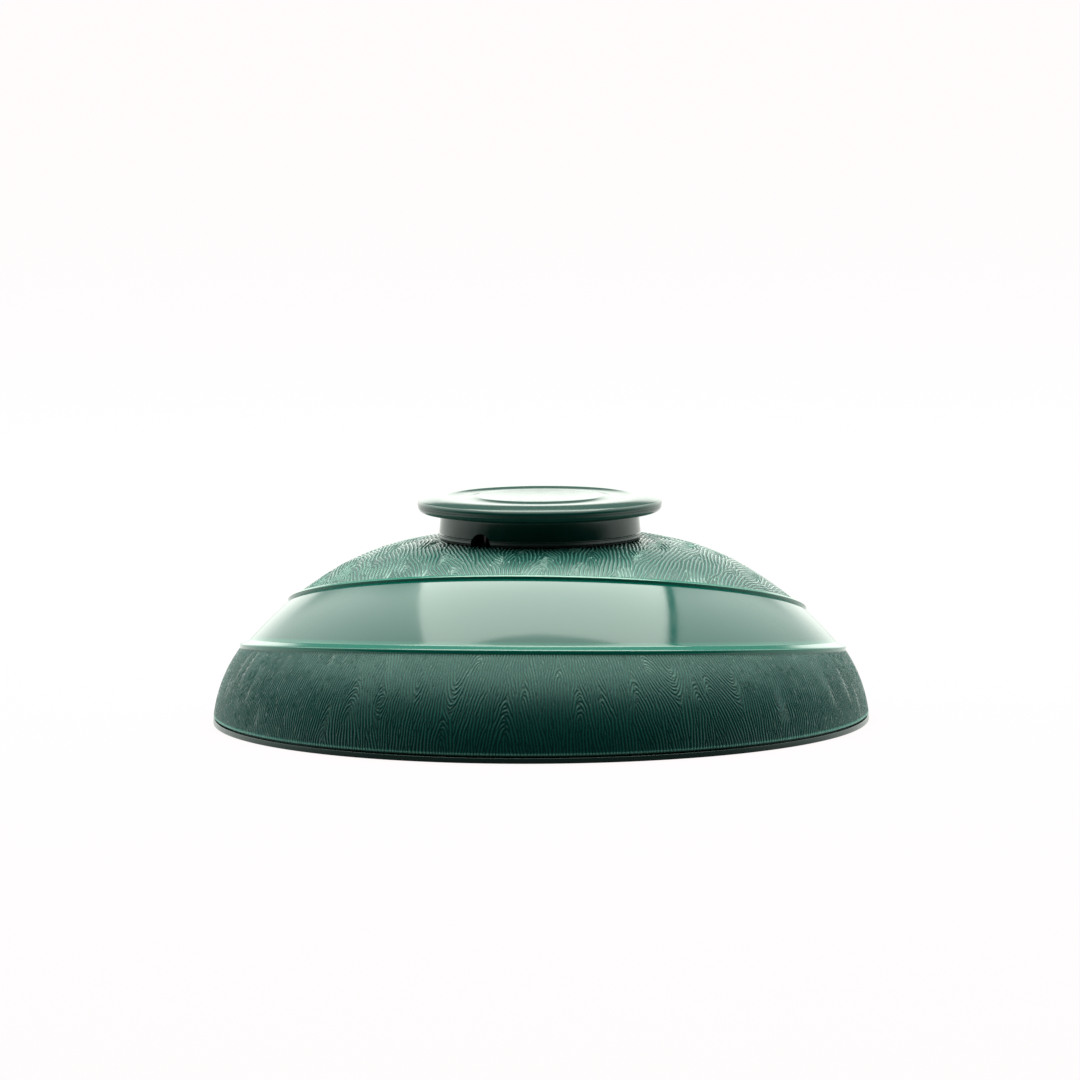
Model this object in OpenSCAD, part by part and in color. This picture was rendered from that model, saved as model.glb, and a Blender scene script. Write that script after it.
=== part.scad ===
// Insulated plate cover: a domed lid made of two plastic shells with foam between them and a hollow
// knob on top. Millimetres, +Z up. The rim stands on z = 0, its centre is the origin, and the slanted
// band round the dome has its high side towards -Y.

/* [Dome outline: three arcs, each tangent to the next] */
// Distance of the lowest arc's centre from the axis
arc1_x = 74.4; // [72:0.1:76]
// Height of the lowest arc's centre
arc1_z = -3.5; // [-5:0.1:-2]
// Radius of the lowest arc
arc1_r = 53.1; // [52:0.1:53.4]
// Radius of the shoulder arc
arc2_r = 137; // [120:1:150]
// Angle above level at which the shoulder arc starts
arc2_from = 41.2; // [38:0.1:44]
// Radius of the crown arc
arc3_r = 89.5; // [84:0.5:95]
// Angle above level at which the crown arc starts
arc3_from = 60; // [56:1:64]

/* [Slanted band] */
// Depth of the band and the top zone under the skirt's surface
band_inset = 0.95; // [0.5:0.05:1.2]
// Height of the band's upper edge where it crosses the axis
upper_z = 47.4; // [44:0.1:50]
// Slant of the upper edge
upper_slant = 12.8; // [10:0.1:13.5]
// How far the upper edge stands out of the band
upper_proud = 1.1; // [0.4:0.1:1.2]
// Width of the upper edge
upper_w = 2; // [1.6:0.1:3]
// Height of the band's lower edge where it crosses the axis
lower_z = 29.6; // [27:0.1:31]
// Slant of the lower edge
lower_slant = 5.85; // [4:0.05:6.5]
// How far the lower edge stands out of the band
lower_proud = 2; // [1.2:0.1:2.2]
// Width of the lower edge
lower_w = 3.4; // [2.6:0.1:4]

/* [Shells] */
// Wall of the outer shell
outer_wall = 2.4; // [2:0.1:2.8]
// Space for foam between the shells
foam_gap = 9.3; // [8.5:0.1:10]
// Wall of the inner liner
liner_wall = 2.2; // [1.8:0.1:2.4]
// Radius of the step that a plate's base fits into
seat_r = 118; // [117:0.1:118.5]
// Height of that step
seat_h = 5; // [4:0.5:5.5]
// Radius of the ceiling's recess, which takes the knob of a cover stacked below
nest_r = 50; // [49:0.5:52]
// Height of that recess's ceiling
nest_z = 57.8; // [57.5:0.1:58]

/* [Rim] */
// Radius of the liner's flange, which is the lip under the skirt
flange_r = 127.2; // [127:0.1:127.6]
// Height of the flange
flange_h = 2.1; // [1.8:0.1:2.4]
// Size of the chamfers on the flange's outer edges
flange_edge = 0.4; // [0.2:0.1:0.6]
// Inner radius of the shell's thick foot
foot_r = 121.2; // [121:0.1:121.4]
// Height of the top of the foot
foot_h = 7.5; // [7:0.1:8]
// Height of the open parting line between flange and skirt
part_line = 0.55; // [0.3:0.05:0.8]
// Inner radius of the flange's tongue, which fits a groove in the foot
tongue_r = 122.4; // [122.2:0.1:122.6]
// Thickness of the tongue
tongue_w = 1.5; // [1.2:0.1:1.6]
// Height of the tongue
tongue_h = 2.2; // [1.6:0.1:2.6]
// Height of the weld bead over the tongue
weld_h = 0.5; // [0.3:0.1:0.8]

/* [Knob] */
// Radius of the neck at its foot
neck_r = 39.2; // [39:0.1:39.6]
// Radius of the neck under the disc
neck_top_r = 38.4; // [38:0.1:38.8]
// Wall of the neck
neck_wall = 2.6; // [2.2:0.1:3]
// Largest radius of the disc
disc_r = 47.3; // [46:0.1:48]
// Height of the disc's underside
disc_low = 81.3; // [81:0.1:81.6]
// Height of the parting line between base and cap
disc_line = 83.7; // [83.5:0.1:83.8]
// Height of the disc's widest line
disc_mid = 84.2; // [84.1:0.1:84.3]
// Height of the disc's top, which is the whole height
disc_top = 87.5; // [87.2:0.1:87.8]
// Radius at which the cap's flat ring turns down into the edge
flat_r = 38; // [37.5:0.1:38.5]
// Width of the flat ring
flat_w = 2; // [1.5:0.1:2.5]
// Slope at which the cap's long edge curve turns into its tight nose
edge_slope = 20; // [19:0.5:21]
// Depth of the trough inside the flat ring
trough_d = 0.8; // [0.4:0.1:1]
// Radius of the dish in the middle
dish_r = 24; // [22:0.5:25]
// Depth of the dish
dish_d = 1; // [0.6:0.1:1.2]
// Width of the drain notch in the neck's foot
notch_d = 9.6; // [6:0.1:10]
// Angle of the drain notch round the axis, from +X
notch_at = -120; // [-135:1:-105]

/* [Fastenings inside] */
// Thickness of the gasket under the neck
gasket_h = 0.6; // [0.4:0.1:1]
// Distance of the knob's screws from the axis
screw_at = 27; // [26:0.5:28]
// Number of screws
screw_count = 4; // [3:1:6]
// Diameter of a screw's shank
screw_d = 3.8; // [3.5:0.1:4.2]
// Diameter of a screw's head
head_d = 8; // [7:0.1:9]
// Height of a screw's head
head_h = 2.6; // [2:0.1:3]
// Length of a screw under its head
screw_len = 13; // [10:0.5:14]
// Thickness of the washer under a screw's head
seal_h = 0.9; // [0.6:0.1:1.2]
// Diameter of a screw boss in the knob
boss_d = 9; // [8:0.5:10]
// Radius of the plug in the hole that the foam is poured through
plug_r = 9; // [8:0.5:10]
// Radius of the plug's flange
plug_flange_r = 12.5; // [12:0.5:14]
// Thickness of the plug's flange
plug_flange_h = 1.6; // [1.2:0.1:2]
// Thickness of the seal under that flange
plug_seal_h = 0.8; // [0.6:0.1:1.2]
// Distance of the vent plugs from the axis
vent_at = 20; // [19:0.5:21]
// Radius of a vent plug
vent_r = 2.2; // [1.5:0.1:2.5]
// Radius of a vent plug's head
vent_head_r = 3.6; // [3:0.1:4]

/* [Hidden] */
$fn = 96;
shell_green = [0.05, 0.24, 0.2];
knob_green = [0.04, 0.2, 0.165];
seal_black = [0.04, 0.05, 0.05];
// Overlap of shapes that join, and reach of cuts past a face
over = 0.5;
// Room left round the foam, and round pieces that slip into holes
skin = 0.1;
// Radius and height beyond the whole object, for cutting shapes
beyond = 160;
// Steps in each arc of the outline
arc1_steps = 12;
arc2_steps = 9;
arc3_steps = 12;

arc2_x = arc1_x + (arc1_r - arc2_r) * cos(arc2_from);
arc2_z = arc1_z + (arc1_r - arc2_r) * sin(arc2_from);
arc3_x = arc2_x + (arc2_r - arc3_r) * cos(arc3_from);
arc3_z = arc2_z + (arc2_r - arc3_r) * sin(arc3_from);

// Depths of the four surfaces under the skirt's own, and the height of the shell's flat top
shell_inside = band_inset + outer_wall;
liner_outside = shell_inside + foam_gap;
liner_inside = liner_outside + liner_wall;
crown_z = arc3_z + arc3_r - band_inset;
ceiling_z = crown_z - outer_wall;
seat_top = seat_h + liner_wall;
nest_top = nest_z + liner_wall;

// Curves of the cap's edge: two tangent arcs that span its width and drop
edge_w = disc_r - flat_r;
edge_h = disc_top - disc_mid;
turn_s = 1 - sin(edge_slope);
turn_c = 1 - cos(edge_slope);
nose_r = (edge_h * sin(edge_slope) - edge_w * turn_c) / (cos(edge_slope) * sin(edge_slope) - turn_s * turn_c);
long_r = (edge_w - nose_r * turn_s) / sin(edge_slope);

// ---- outline and shared shapes ----

// Radius of the circle that cuts a hollow of this half width and depth
function hollow_r(half, depth) = (half * half + depth * depth) / (2 * depth);

// Points of one arc between two angles, without its first point unless first is 0
function arc(x, z, r, a, b, steps, first = 1) = [
    for (i = [first : steps])
        let (t = a + (b - a) * i / steps)
        [x + r * cos(t), z + r * sin(t)]
];

// The solid dome above z = low, with its surface moved outwards by d
module dome(d, low = 0) {
    start = asin((low - arc1_z) / (arc1_r + d));
    rotate_extrude()
        polygon(concat(
            [[0, low]],
            arc(arc1_x, arc1_z, arc1_r + d, start, arc2_from, arc1_steps, 0),
            arc(arc2_x, arc2_z, arc2_r + d, arc2_from, arc3_from, arc2_steps),
            arc(arc3_x, arc3_z, arc3_r + d, arc3_from, 90, arc3_steps),
            [[0, arc3_z + arc3_r + d]]
        ));
}

// A slab that crosses the axis at height z and rises towards -Y, between two distances from its plane
module slab(z, slant, from, to)
    translate([0, 0, z])
        rotate([-slant, 0, 0])
            translate([-beyond, -beyond, from])
                cube([2 * beyond, 2 * beyond, to - from]);

// A ring of rectangular section
module ring(r1, r2, z1, z2)
    rotate_extrude()
        translate([r1, z1])
            square([r2 - r1, z2 - z1]);

// A round disc between two heights
module disc(r, z1, z2)
    translate([0, 0, z1])
        cylinder(r = r, h = z2 - z1);

// Copies round the axis
module around(count, r, from = 0)
    for (i = [0 : count - 1])
        rotate(from + i * 360 / count)
            translate([r, 0, 0])
                children();

module at_screws() around(screw_count, screw_at, 45) children();

module at_vents() around(2, vent_at) children();

// The round tool that cuts the drain notch through the neck and its gasket
module notch()
    rotate(notch_at)
        translate([neck_r - 3 * neck_wall, 0, crown_z])
            rotate([0, 90, 0])
                cylinder(d = notch_d, h = 5 * neck_wall);

// ---- shells ----

// Skirt, smooth band, top zone, and the two raised edges of the band
module outer_skin() {
    dome(-band_inset, flange_h);
    intersection() {
        dome(0, flange_h);
        slab(lower_z, lower_slant, -beyond, -lower_w / 2);
    }
    intersection() {
        dome(lower_proud - band_inset, flange_h);
        slab(lower_z, lower_slant, -lower_w / 2 - over, lower_w / 2 - over);
    }
    intersection() {
        dome(upper_proud - band_inset, flange_h);
        slab(upper_z, upper_slant, -upper_w / 2, upper_w / 2);
    }
}

module outer_shell() {
    ledge_r = tongue_r + tongue_w + 1.2;
    color(shell_green)
        difference() {
            union() {
                difference() {
                    outer_skin();
                    dome(-shell_inside);
                }
                // thick foot that carries the groove
                intersection() {
                    dome(-2 * skin, flange_h);
                    ring(foot_r, beyond, flange_h, foot_h);
                }
            }
            // parting line, and the groove for tongue and weld
            ring(ledge_r, beyond, 0, flange_h + part_line);
            ring(tongue_r - skin, tongue_r + tongue_w + skin, 0, flange_h + tongue_h + weld_h);
            // holes under the knob
            at_screws() disc(screw_d / 2 + 0.3, ceiling_z - over, crown_z + over);
            at_vents() disc(vent_r + skin / 2, ceiling_z - over, crown_z + over);
            disc(plug_r + skin, ceiling_z - over, crown_z + over);
        }
}

module inner_liner() {
    tongue_top = flange_h + tongue_h;
    color(shell_green)
        difference() {
            union() {
                dome(-liner_outside);
                disc(nest_r + liner_wall, nest_z - 3 * liner_wall, nest_top);
                disc(seat_r + liner_wall, 0, seat_top);
                // flange with chamfered outer edges, and its tongue
                disc(flange_r - flange_edge, 0, flange_h);
                ring(seat_r, flange_r, flange_edge, flange_h - flange_edge / 2);
                ring(tongue_r, tongue_r + tongue_w, flange_h - over, tongue_top);
            }
            dome(-liner_inside);
            disc(nest_r, nest_z / 2, nest_z);
            disc(seat_r, -over, seat_h);
        }
}

module foam_core() {
    pocket_top = crown_z;
    color([0.93, 0.88, 0.7])
        difference() {
            union() {
                dome(-shell_inside - skin, seat_top + skin);
                ring(seat_r + liner_wall + skin, foot_r - skin, flange_h + skin, foot_h);
            }
            dome(-liner_outside + skin);
            disc(nest_r + liner_wall + skin, nest_z / 2, nest_top + skin);
            ring(foot_r - skin, beyond, 0, foot_h + skin);
            // pockets round the screw heads and the plugs
            at_screws() disc(head_d / 2 + 8 * skin, ceiling_z - seal_h - head_h - skin, pocket_top);
            at_vents() disc(vent_r + skin, ceiling_z - outer_wall, pocket_top);
            disc(plug_r + skin, ceiling_z - outer_wall - skin, pocket_top);
        }
}

// Bead of weld at the blind end of the rim's groove
module rim_weld()
    color(seal_black)
        ring(tongue_r, tongue_r + tongue_w, flange_h + tongue_h, flange_h + tongue_h + weld_h);

// ---- knob ----

module base_outline() {
    foot_z = crown_z + gasket_h;
    bore_r = neck_top_r - neck_wall;
    corner_r = disc_line - disc_low - skin;
    line_z = crown_z + 2;
    spigot_r = bore_r - 2.6;
    difference() {
        union() {
            // neck with a fine raised line near its foot and a small flare under the disc
            polygon([
                [bore_r, foot_z], [neck_r, foot_z],
                [neck_r - 0.1, line_z - 0.1], [neck_r + 0.2, line_z],
                [neck_r + 0.2, line_z + 0.4], [neck_r - 0.2, line_z + 0.5],
                [neck_top_r, disc_low - 1.1], [neck_top_r + 0.7, disc_low],
                [neck_top_r + 0.7, disc_low + 1], [bore_r, disc_low + 1]
            ]);
            // lower half of the disc, with a round corner
            translate([spigot_r - 0.2, disc_low])
                square([disc_r - corner_r - spigot_r + 0.1, disc_line - disc_low]);
            intersection() {
                translate([disc_r - skin - corner_r, disc_low + corner_r])
                    circle(r = corner_r);
                translate([disc_r - corner_r - 2 * skin, disc_low - over])
                    square([corner_r + over, disc_line - disc_low + over]);
            }
        }
        // seat for the cap's spigot
        translate([spigot_r - over, disc_line - 0.9])
            square([2.6 + over, 2]);
    }
}

module knob_base() {
    boss_top = disc_low - 0.4;
    rib_w = 2;
    color(knob_green)
        difference() {
            union() {
                rotate_extrude() base_outline();
                at_screws() {
                    disc(boss_d / 2, crown_z + gasket_h, boss_top);
                    translate([boss_d / 3, -rib_w / 2, crown_z + notch_d / 2])
                        cube([neck_top_r - neck_wall / 2 - screw_at - boss_d / 3, rib_w, notch_d / 2 + 1]);
                }
            }
            // blind holes for the screws
            at_screws() disc(screw_d / 2 + skin / 2, crown_z, ceiling_z - seal_h + screw_len + 0.4);
            notch();
        }
}

module cap_outline() {
    trough_out = flat_r - flat_w;
    trough_in = dish_r + 0.6;
    trough_cut = hollow_r((trough_out - trough_in) / 2, trough_d);
    dish_cut = hollow_r(dish_r, dish_d);
    turn_x = flat_r + long_r * sin(edge_slope);
    roof = 1;
    spigot_r = neck_top_r - neck_wall - 2.6;
    difference() {
        union() {
            translate([0, disc_line])
                square([flat_r, disc_top - disc_line]);
            translate([0, disc_line])
                square([disc_r - skin, disc_mid - disc_line]);
            translate([0, disc_line + 2 * skin])
                square([disc_r, disc_mid - disc_line - 2 * skin]);
            // long curve down from the flat ring
            intersection() {
                translate([flat_r, disc_top - long_r])
                    circle(r = long_r);
                translate([flat_r - skin, disc_line])
                    square([turn_x - flat_r + skin, disc_top - disc_line]);
            }
            // tight nose at the widest line
            intersection() {
                translate([disc_r - nose_r, disc_mid])
                    circle(r = nose_r);
                translate([turn_x - skin, disc_mid - skin])
                    square([disc_r, disc_top - disc_mid]);
            }
        }
        // trough and dish in the top
        translate([(trough_out + trough_in) / 2, disc_top - trough_d + trough_cut])
            circle(r = trough_cut);
        translate([0, disc_top - dish_d + dish_cut])
            circle(r = dish_cut);
        // hollow underside
        translate([-over, disc_line - over])
            square([spigot_r + 0.3 + over, roof + over]);
        // nothing left of the axis
        translate([-2 * dish_cut, 0])
            square([2 * dish_cut, 3 * dish_cut]);
    }
    // spigot that centres the cap in the base
    translate([spigot_r, disc_line - 0.8])
        square([2, 1.4]);
}

module knob_cap()
    color(knob_green)
        rotate_extrude() cap_outline();

module knob_gasket()
    color(seal_black)
        difference() {
            ring(neck_r - neck_wall - 0.5, neck_r - 0.5, crown_z, crown_z + gasket_h);
            notch();
        }

// ---- screws, washers and plugs ----

// Pan-head screws that point up into the knob, with a cross recess
module knob_screws() {
    head_top = ceiling_z - seal_h;
    slot_l = 4.4;
    slot_w = 1;
    slot_deep = 1.4;
    color([0.72, 0.73, 0.74])
        at_screws()
            difference() {
                union() {
                    translate([0, 0, head_top - head_h])
                        cylinder(h = head_h, d1 = head_d - 1.2, d2 = head_d);
                    disc(screw_d / 2, head_top - skin, head_top + screw_len);
                }
                for (turn = [0, 90])
                    rotate(turn)
                        translate([-slot_l / 2, -slot_w / 2, head_top - head_h - over])
                            cube([slot_l, slot_w, slot_deep + over]);
            }
}

module screw_seals()
    color(seal_black)
        at_screws()
            ring(screw_d / 2 + skin, head_d / 2 + over, ceiling_z - seal_h, ceiling_z);

// Hollow plug in the hole that the foam is poured through
module fill_plug() {
    flange_z = crown_z + plug_seal_h;
    wall = 1.8;
    color(shell_green)
        difference() {
            union() {
                disc(plug_flange_r, flange_z, flange_z + plug_flange_h);
                disc(plug_r, ceiling_z - outer_wall, flange_z + over);
            }
            disc(plug_r - wall, ceiling_z - 2 * outer_wall, flange_z);
        }
}

module plug_seal()
    color(seal_black)
        ring(plug_r + 3 * skin, plug_flange_r - over, crown_z, crown_z + plug_seal_h);

module vent_plugs()
    color(shell_green)
        at_vents() {
            disc(vent_head_r, crown_z, crown_z + 1);
            disc(vent_r, ceiling_z - outer_wall + 2 * skin, crown_z + over);
        }

// ---- what is drawn ----

outer_shell();
inner_liner();
foam_core();
rim_weld();
knob_base();
knob_cap();
knob_gasket();
knob_screws();
screw_seals();
fill_plug();
plug_seal();
vent_plugs();
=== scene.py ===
"""Insulated plate cover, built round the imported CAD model. Lengths in the code are millimetres."""

import math

import bmesh
import bpy
import numpy as np
from mathutils import Matrix, Vector


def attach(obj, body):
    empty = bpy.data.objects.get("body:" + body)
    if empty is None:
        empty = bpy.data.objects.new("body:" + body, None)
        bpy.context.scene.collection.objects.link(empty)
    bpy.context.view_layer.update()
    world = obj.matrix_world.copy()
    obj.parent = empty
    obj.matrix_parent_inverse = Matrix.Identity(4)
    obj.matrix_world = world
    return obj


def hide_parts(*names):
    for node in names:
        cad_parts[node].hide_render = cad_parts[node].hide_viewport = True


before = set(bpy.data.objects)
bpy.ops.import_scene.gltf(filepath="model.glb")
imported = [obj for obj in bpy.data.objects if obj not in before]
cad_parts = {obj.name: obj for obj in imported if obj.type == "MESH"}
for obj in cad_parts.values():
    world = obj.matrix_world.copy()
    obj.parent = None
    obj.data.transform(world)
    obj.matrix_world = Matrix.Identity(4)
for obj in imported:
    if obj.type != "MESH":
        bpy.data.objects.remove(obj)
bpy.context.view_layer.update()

MM = 0.001

# ---- sizes that part.scad also uses ----

# Outline of the skirt's surface: a flat crown, then three arcs as (centre radius, centre height, radius)
CROWN_ARC = (35.022, -17.628, 89.5)
SHOULDER_ARC = (11.272, -58.764, 137.0)
FOOT_ARC = (74.4, -3.5, 53.1)
# Angles above level at which one arc gives way to the next
CROWN_FROM = math.radians(60)
SHOULDER_FROM = math.radians(41.2)

# Depths under the skirt's surface
BAND_INSET = 0.95
SHELL_INSIDE = 3.35
LINER_OUTSIDE = 12.65
LINER_INSIDE = 14.85
CROWN_Z = CROWN_ARC[1] + CROWN_ARC[2] - BAND_INSET
CEILING_Z = CROWN_Z - 2.4

# Slanted edges of the band: height on the axis, slant, and how far each reaches above and below its plane
UPPER_EDGE = dict(z=47.4, slant=math.radians(12.8))
UPPER_HALF = 1.0
UPPER_PROUD = 1.1
LOWER_EDGE = dict(z=29.6, slant=math.radians(5.85))
LOWER_ABOVE = 1.2
LOWER_BELOW = 2.2
LOWER_PROUD = 2.0

# Knob
NECK_R = 39.2
NECK_TOP_R = 38.4
NECK_WALL = 2.6
NECK_FOOT = CROWN_Z + 0.6
DISC_R = 47.3
DISC_LOW = 81.3
DISC_LINE = 83.7
DISC_MID = 84.2
DISC_TOP = 87.5
FLAT_R = 38.0
NOTCH_R = 4.8
NOTCH_AT = math.radians(-120)

# ---- the look ----

# Moulded grain: distance between ridges and depth of the grooves
CROWN_PITCH = 1.55
CROWN_DEPTH = 0.34
SKIRT_PITCH = 1.2
SKIRT_DEPTH = 0.24
# Radius at which the skirt's grain has its true width
SKIRT_R = 125.0
# How far the grained pieces reach in under the band's edges
TUCK = 0.2

# The mesh attribute read by the materials holds the grain's waves, or on the band each part's share of a
# brighter green painted on its raised edges as painted light
BAND_EDGE_PAINTED_LIGHT = dict(lower_edge=0.6, face=0.0, upper_edge=1.0, inside=0.0)
# Values of the grain's waves from which, and over which, its plastic gets a painted highlight: a pale
# colour that stands in for light catching an edge
PAINTED_HIGHLIGHT_FROM = 1.8
PAINTED_HIGHLIGHT_TO = 3.2

GREEN_DARK = (0.001, 0.046, 0.039)
GREEN = (0.002, 0.085, 0.066)
GREEN_CLOUD = (0.003, 0.095, 0.075)
# Pale green painted on the crown's ridge tops as a painted highlight
GREEN_RIDGE_HIGHLIGHT = (0.085, 0.25, 0.205)
# Pale green painted as a highlight on the edge over the skirt's foot
GREEN_PAINTED_HIGHLIGHT = (0.12, 0.34, 0.28)
# Brighter green painted on the band's raised edges as painted light
GREEN_EDGE_PAINTED_LIGHT = (0.001, 0.17, 0.115)
SKIRT_DARK = (0.001, 0.03, 0.027)
# Pale green painted on the skirt's ridge tops as a painted highlight
SKIRT_RIDGE_HIGHLIGHT = (0.012, 0.105, 0.092)
KNOB_GREEN = (0.0014, 0.045, 0.034)
KNOB_CLOUD = (0.002, 0.055, 0.042)
LINER_GREEN = (0.001, 0.026, 0.021)
LINER_CLOUD = (0.0015, 0.032, 0.026)
PLUG_GREEN = (0.003, 0.038, 0.03)
PLUG_CLOUD = (0.005, 0.048, 0.038)

# Camera, in metres: just above level, a little to the right of the band's high side
CAMERA_AZIMUTH = math.radians(6)
CAMERA_ELEVATION = math.radians(6.11)
CAMERA_DISTANCE = 2.816
CAMERA_ROLL = math.radians(-0.37)
CAMERA_LENS = 242.2
AIM_HEIGHT = 0.070
TO_BACK = Vector((-math.sin(CAMERA_AZIMUTH), math.cos(CAMERA_AZIMUTH), 0))
TO_RIGHT = Vector((math.cos(CAMERA_AZIMUTH), math.sin(CAMERA_AZIMUTH), 0))

# Studio, with the panels' height in metres
FLOOR_R = 14000.0
FLOOR_WHITE = (0.95, 0.915, 0.923)
BACKDROP_WHITE = (1.0, 0.965, 0.973)
LIGHT_FROM_FLOOR = (0.97, 1.0, 0.95)
LIGHT_FROM_ROOM = (0.98, 1.0, 0.94)
LIGHT_FROM_PANELS = (0.97, 1.0, 0.92)
SKY = 3.6
PANEL_HEIGHT = 1.25
KEY_RADIANCE = 7.0
MIDDLE_RADIANCE = 3.0
FRONT_RADIANCE = 2.2


# ---- small helpers ----

def smoothstep(low, high, x):
    t = np.clip((x - low) / (high - low), 0, 1)
    return t * t * (3 - 2 * t)


def arc_points(x, z, radius, start, end, steps):
    """Points of an arc about (x, z), with angles in degrees."""
    turn = np.radians(np.linspace(start, end, steps + 1))
    return [(x + radius * math.cos(t), z + radius * math.sin(t)) for t in turn]


def round_corners(points, steps=5):
    """A closed outline of (x, z, corner radius) with its corners rounded."""
    made = []
    for i, (x, z, radius) in enumerate(points):
        if radius == 0:
            made.append((x, z))
            continue
        corner = np.array((x, z))
        to_last = np.array(points[i - 1][:2]) - corner
        to_next = np.array(points[(i + 1) % len(points)][:2]) - corner
        reach_last, reach_next = np.linalg.norm(to_last), np.linalg.norm(to_next)
        to_last, to_next = to_last / reach_last, to_next / reach_next
        half = math.acos(np.clip(to_last @ to_next, -1, 1)) / 2
        cut = min(radius / math.tan(half), 0.49 * reach_last, 0.49 * reach_next)
        start, end = corner + to_last * cut, corner + to_next * cut
        for step in range(steps + 1):
            t = step / steps
            made.append(tuple((1 - t) ** 2 * start + 2 * t * (1 - t) * corner + t * t * end))
    return made


def new_object(name, mesh):
    made = bpy.data.objects.new(name, mesh)
    bpy.context.scene.collection.objects.link(made)
    return made


def mesh_from(name, points, faces, sharp):
    """Mesh of points in millimetres and an array of quads, smooth but for edges over sharp degrees."""
    mesh = bpy.data.meshes.new(name)
    count = len(faces)
    mesh.vertices.add(len(points))
    mesh.vertices.foreach_set("co", (points * MM).astype(np.float32).ravel())
    mesh.loops.add(count * 4)
    mesh.loops.foreach_set("vertex_index", faces.astype(np.int32).ravel())
    mesh.polygons.add(count)
    mesh.polygons.foreach_set("loop_start", np.arange(0, count * 4, 4, dtype=np.int32))
    mesh.polygons.foreach_set("use_smooth", np.ones(count, dtype=bool))
    mesh.update(calc_edges=True)
    mesh.validate()
    mesh.set_sharp_from_angle(angle=math.radians(sharp))
    return mesh


def ring_mesh(name, points, sharp=40.0, values=None):
    """Closed tube of sections: points[row, column] runs round the section, then round the axis."""
    rows, columns = points.shape[:2]
    row = np.arange(rows)[:, None]
    column = np.arange(columns)[None, :]
    next_row, next_column = (row + 1) % rows, (column + 1) % columns
    corners = [(row, column), (row, next_column), (next_row, next_column), (next_row, column)]
    faces = np.stack([r * columns + c for r, c in corners], axis=-1).reshape(-1, 4)
    first = points[:, 0]
    radius, height = np.hypot(first[:, 0], first[:, 1]), first[:, 2]
    turn = np.sum(radius * np.roll(height, -1) - np.roll(radius, -1) * height)
    if turn < 0:
        faces = faces[:, ::-1]
    mesh = mesh_from(name, points.reshape(-1, 3), faces, sharp)
    if values is not None:
        relief_and_painted_light = mesh.attributes.new("relief_and_painted_light", "FLOAT", "POINT")
        relief_and_painted_light.data.foreach_set("value", values.astype(np.float32).ravel())
    return new_object(name, mesh)


def turned(name, outline, columns, sharp=40.0):
    """Closed outline of (radius, height), turned about the axis. Points on the axis share a pole."""
    outline = np.array(outline)
    turn = np.linspace(0, 2 * math.pi, columns, endpoint=False)
    points = np.empty((len(outline), columns, 3))
    points[..., 0] = outline[:, :1] * np.cos(turn)
    points[..., 1] = outline[:, :1] * np.sin(turn)
    points[..., 2] = outline[:, 1:]
    made = ring_mesh(name, points, sharp)
    bm = bmesh_of(made)
    on_axis = [v for v in bm.verts if math.hypot(v.co.x, v.co.y) < 1e-6]
    bmesh.ops.remove_doubles(bm, verts=on_axis, dist=1e-6)
    wires = [e for e in bm.edges if not e.link_faces]
    bmesh.ops.delete(bm, geom=wires, context="EDGES")
    write_back(bm, made)
    return made


def bmesh_of(made):
    bm = bmesh.new()
    bm.from_mesh(made.data)
    return bm


def write_back(bm, made):
    bmesh.ops.recalc_face_normals(bm, faces=bm.faces)
    bm.to_mesh(made.data)
    bm.free()
    made.data.update()


def carve(made, cutters, sharp=40.0):
    """Cuts the cutters out of a piece and removes them."""
    for cutter in cutters:
        cut = made.modifiers.new("cut", "BOOLEAN")
        cut.operation, cut.object, cut.solver = "DIFFERENCE", cutter, "EXACT"
    whole = bpy.data.meshes.new_from_object(made.evaluated_get(bpy.context.evaluated_depsgraph_get()))
    made.modifiers.clear()
    made.data = whole
    whole.name = made.name
    whole.set_sharp_from_angle(angle=math.radians(sharp))
    for cutter in cutters:
        bpy.data.objects.remove(cutter)


def rod(radius, start, end, columns=64):
    """Cylinder between two points, as a cutter."""
    start, end = Vector(start) * MM, Vector(end) * MM
    bm = bmesh.new()
    lie = (end - start).to_track_quat("Z", "Y").to_matrix().to_4x4()
    bmesh.ops.create_cone(
        bm,
        cap_ends=True,
        segments=columns,
        radius1=radius * MM,
        radius2=radius * MM,
        depth=(end - start).length,
        matrix=Matrix.Translation((start + end) / 2) @ lie,
    )
    mesh = bpy.data.meshes.new("cutter")
    bm.to_mesh(mesh)
    bm.free()
    return new_object("cutter", mesh)


# ---- the dome's outline ----

CROWN_S = CROWN_ARC[0]
SHOULDER_S = CROWN_S + CROWN_ARC[2] * (math.pi / 2 - CROWN_FROM)
FOOT_S = SHOULDER_S + SHOULDER_ARC[2] * (CROWN_FROM - SHOULDER_FROM)


def outline(s, offset=0.0):
    """(radius, height) at distance s down the skirt's surface from the axis, moved outwards by offset."""
    s = np.asarray(s, dtype=float)
    zones = [s < CROWN_S, s < SHOULDER_S, s < FOOT_S]
    turn = np.select(
        zones,
        [
            np.full_like(s, math.pi / 2),
            math.pi / 2 - (s - CROWN_S) / CROWN_ARC[2],
            CROWN_FROM - (s - SHOULDER_S) / SHOULDER_ARC[2],
        ],
        SHOULDER_FROM - (s - FOOT_S) / FOOT_ARC[2],
    )
    x, z, radius = [
        np.select(zones, [a, b, c], d)
        for a, b, c, d in zip(CROWN_ARC, CROWN_ARC, SHOULDER_ARC, FOOT_ARC)
    ]
    x = np.where(s < CROWN_S, s, x)
    return x + (radius + offset) * np.cos(turn), z + (radius + offset) * np.sin(turn)


def bisect(over, low, high):
    """Where over(s), which falls from above 0 to below 0, crosses 0."""
    for _ in range(40):
        middle = (low + high) / 2
        above = over(middle) > 0
        low, high = np.where(above, middle, low), np.where(above, high, middle)
    return (low + high) / 2


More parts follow.
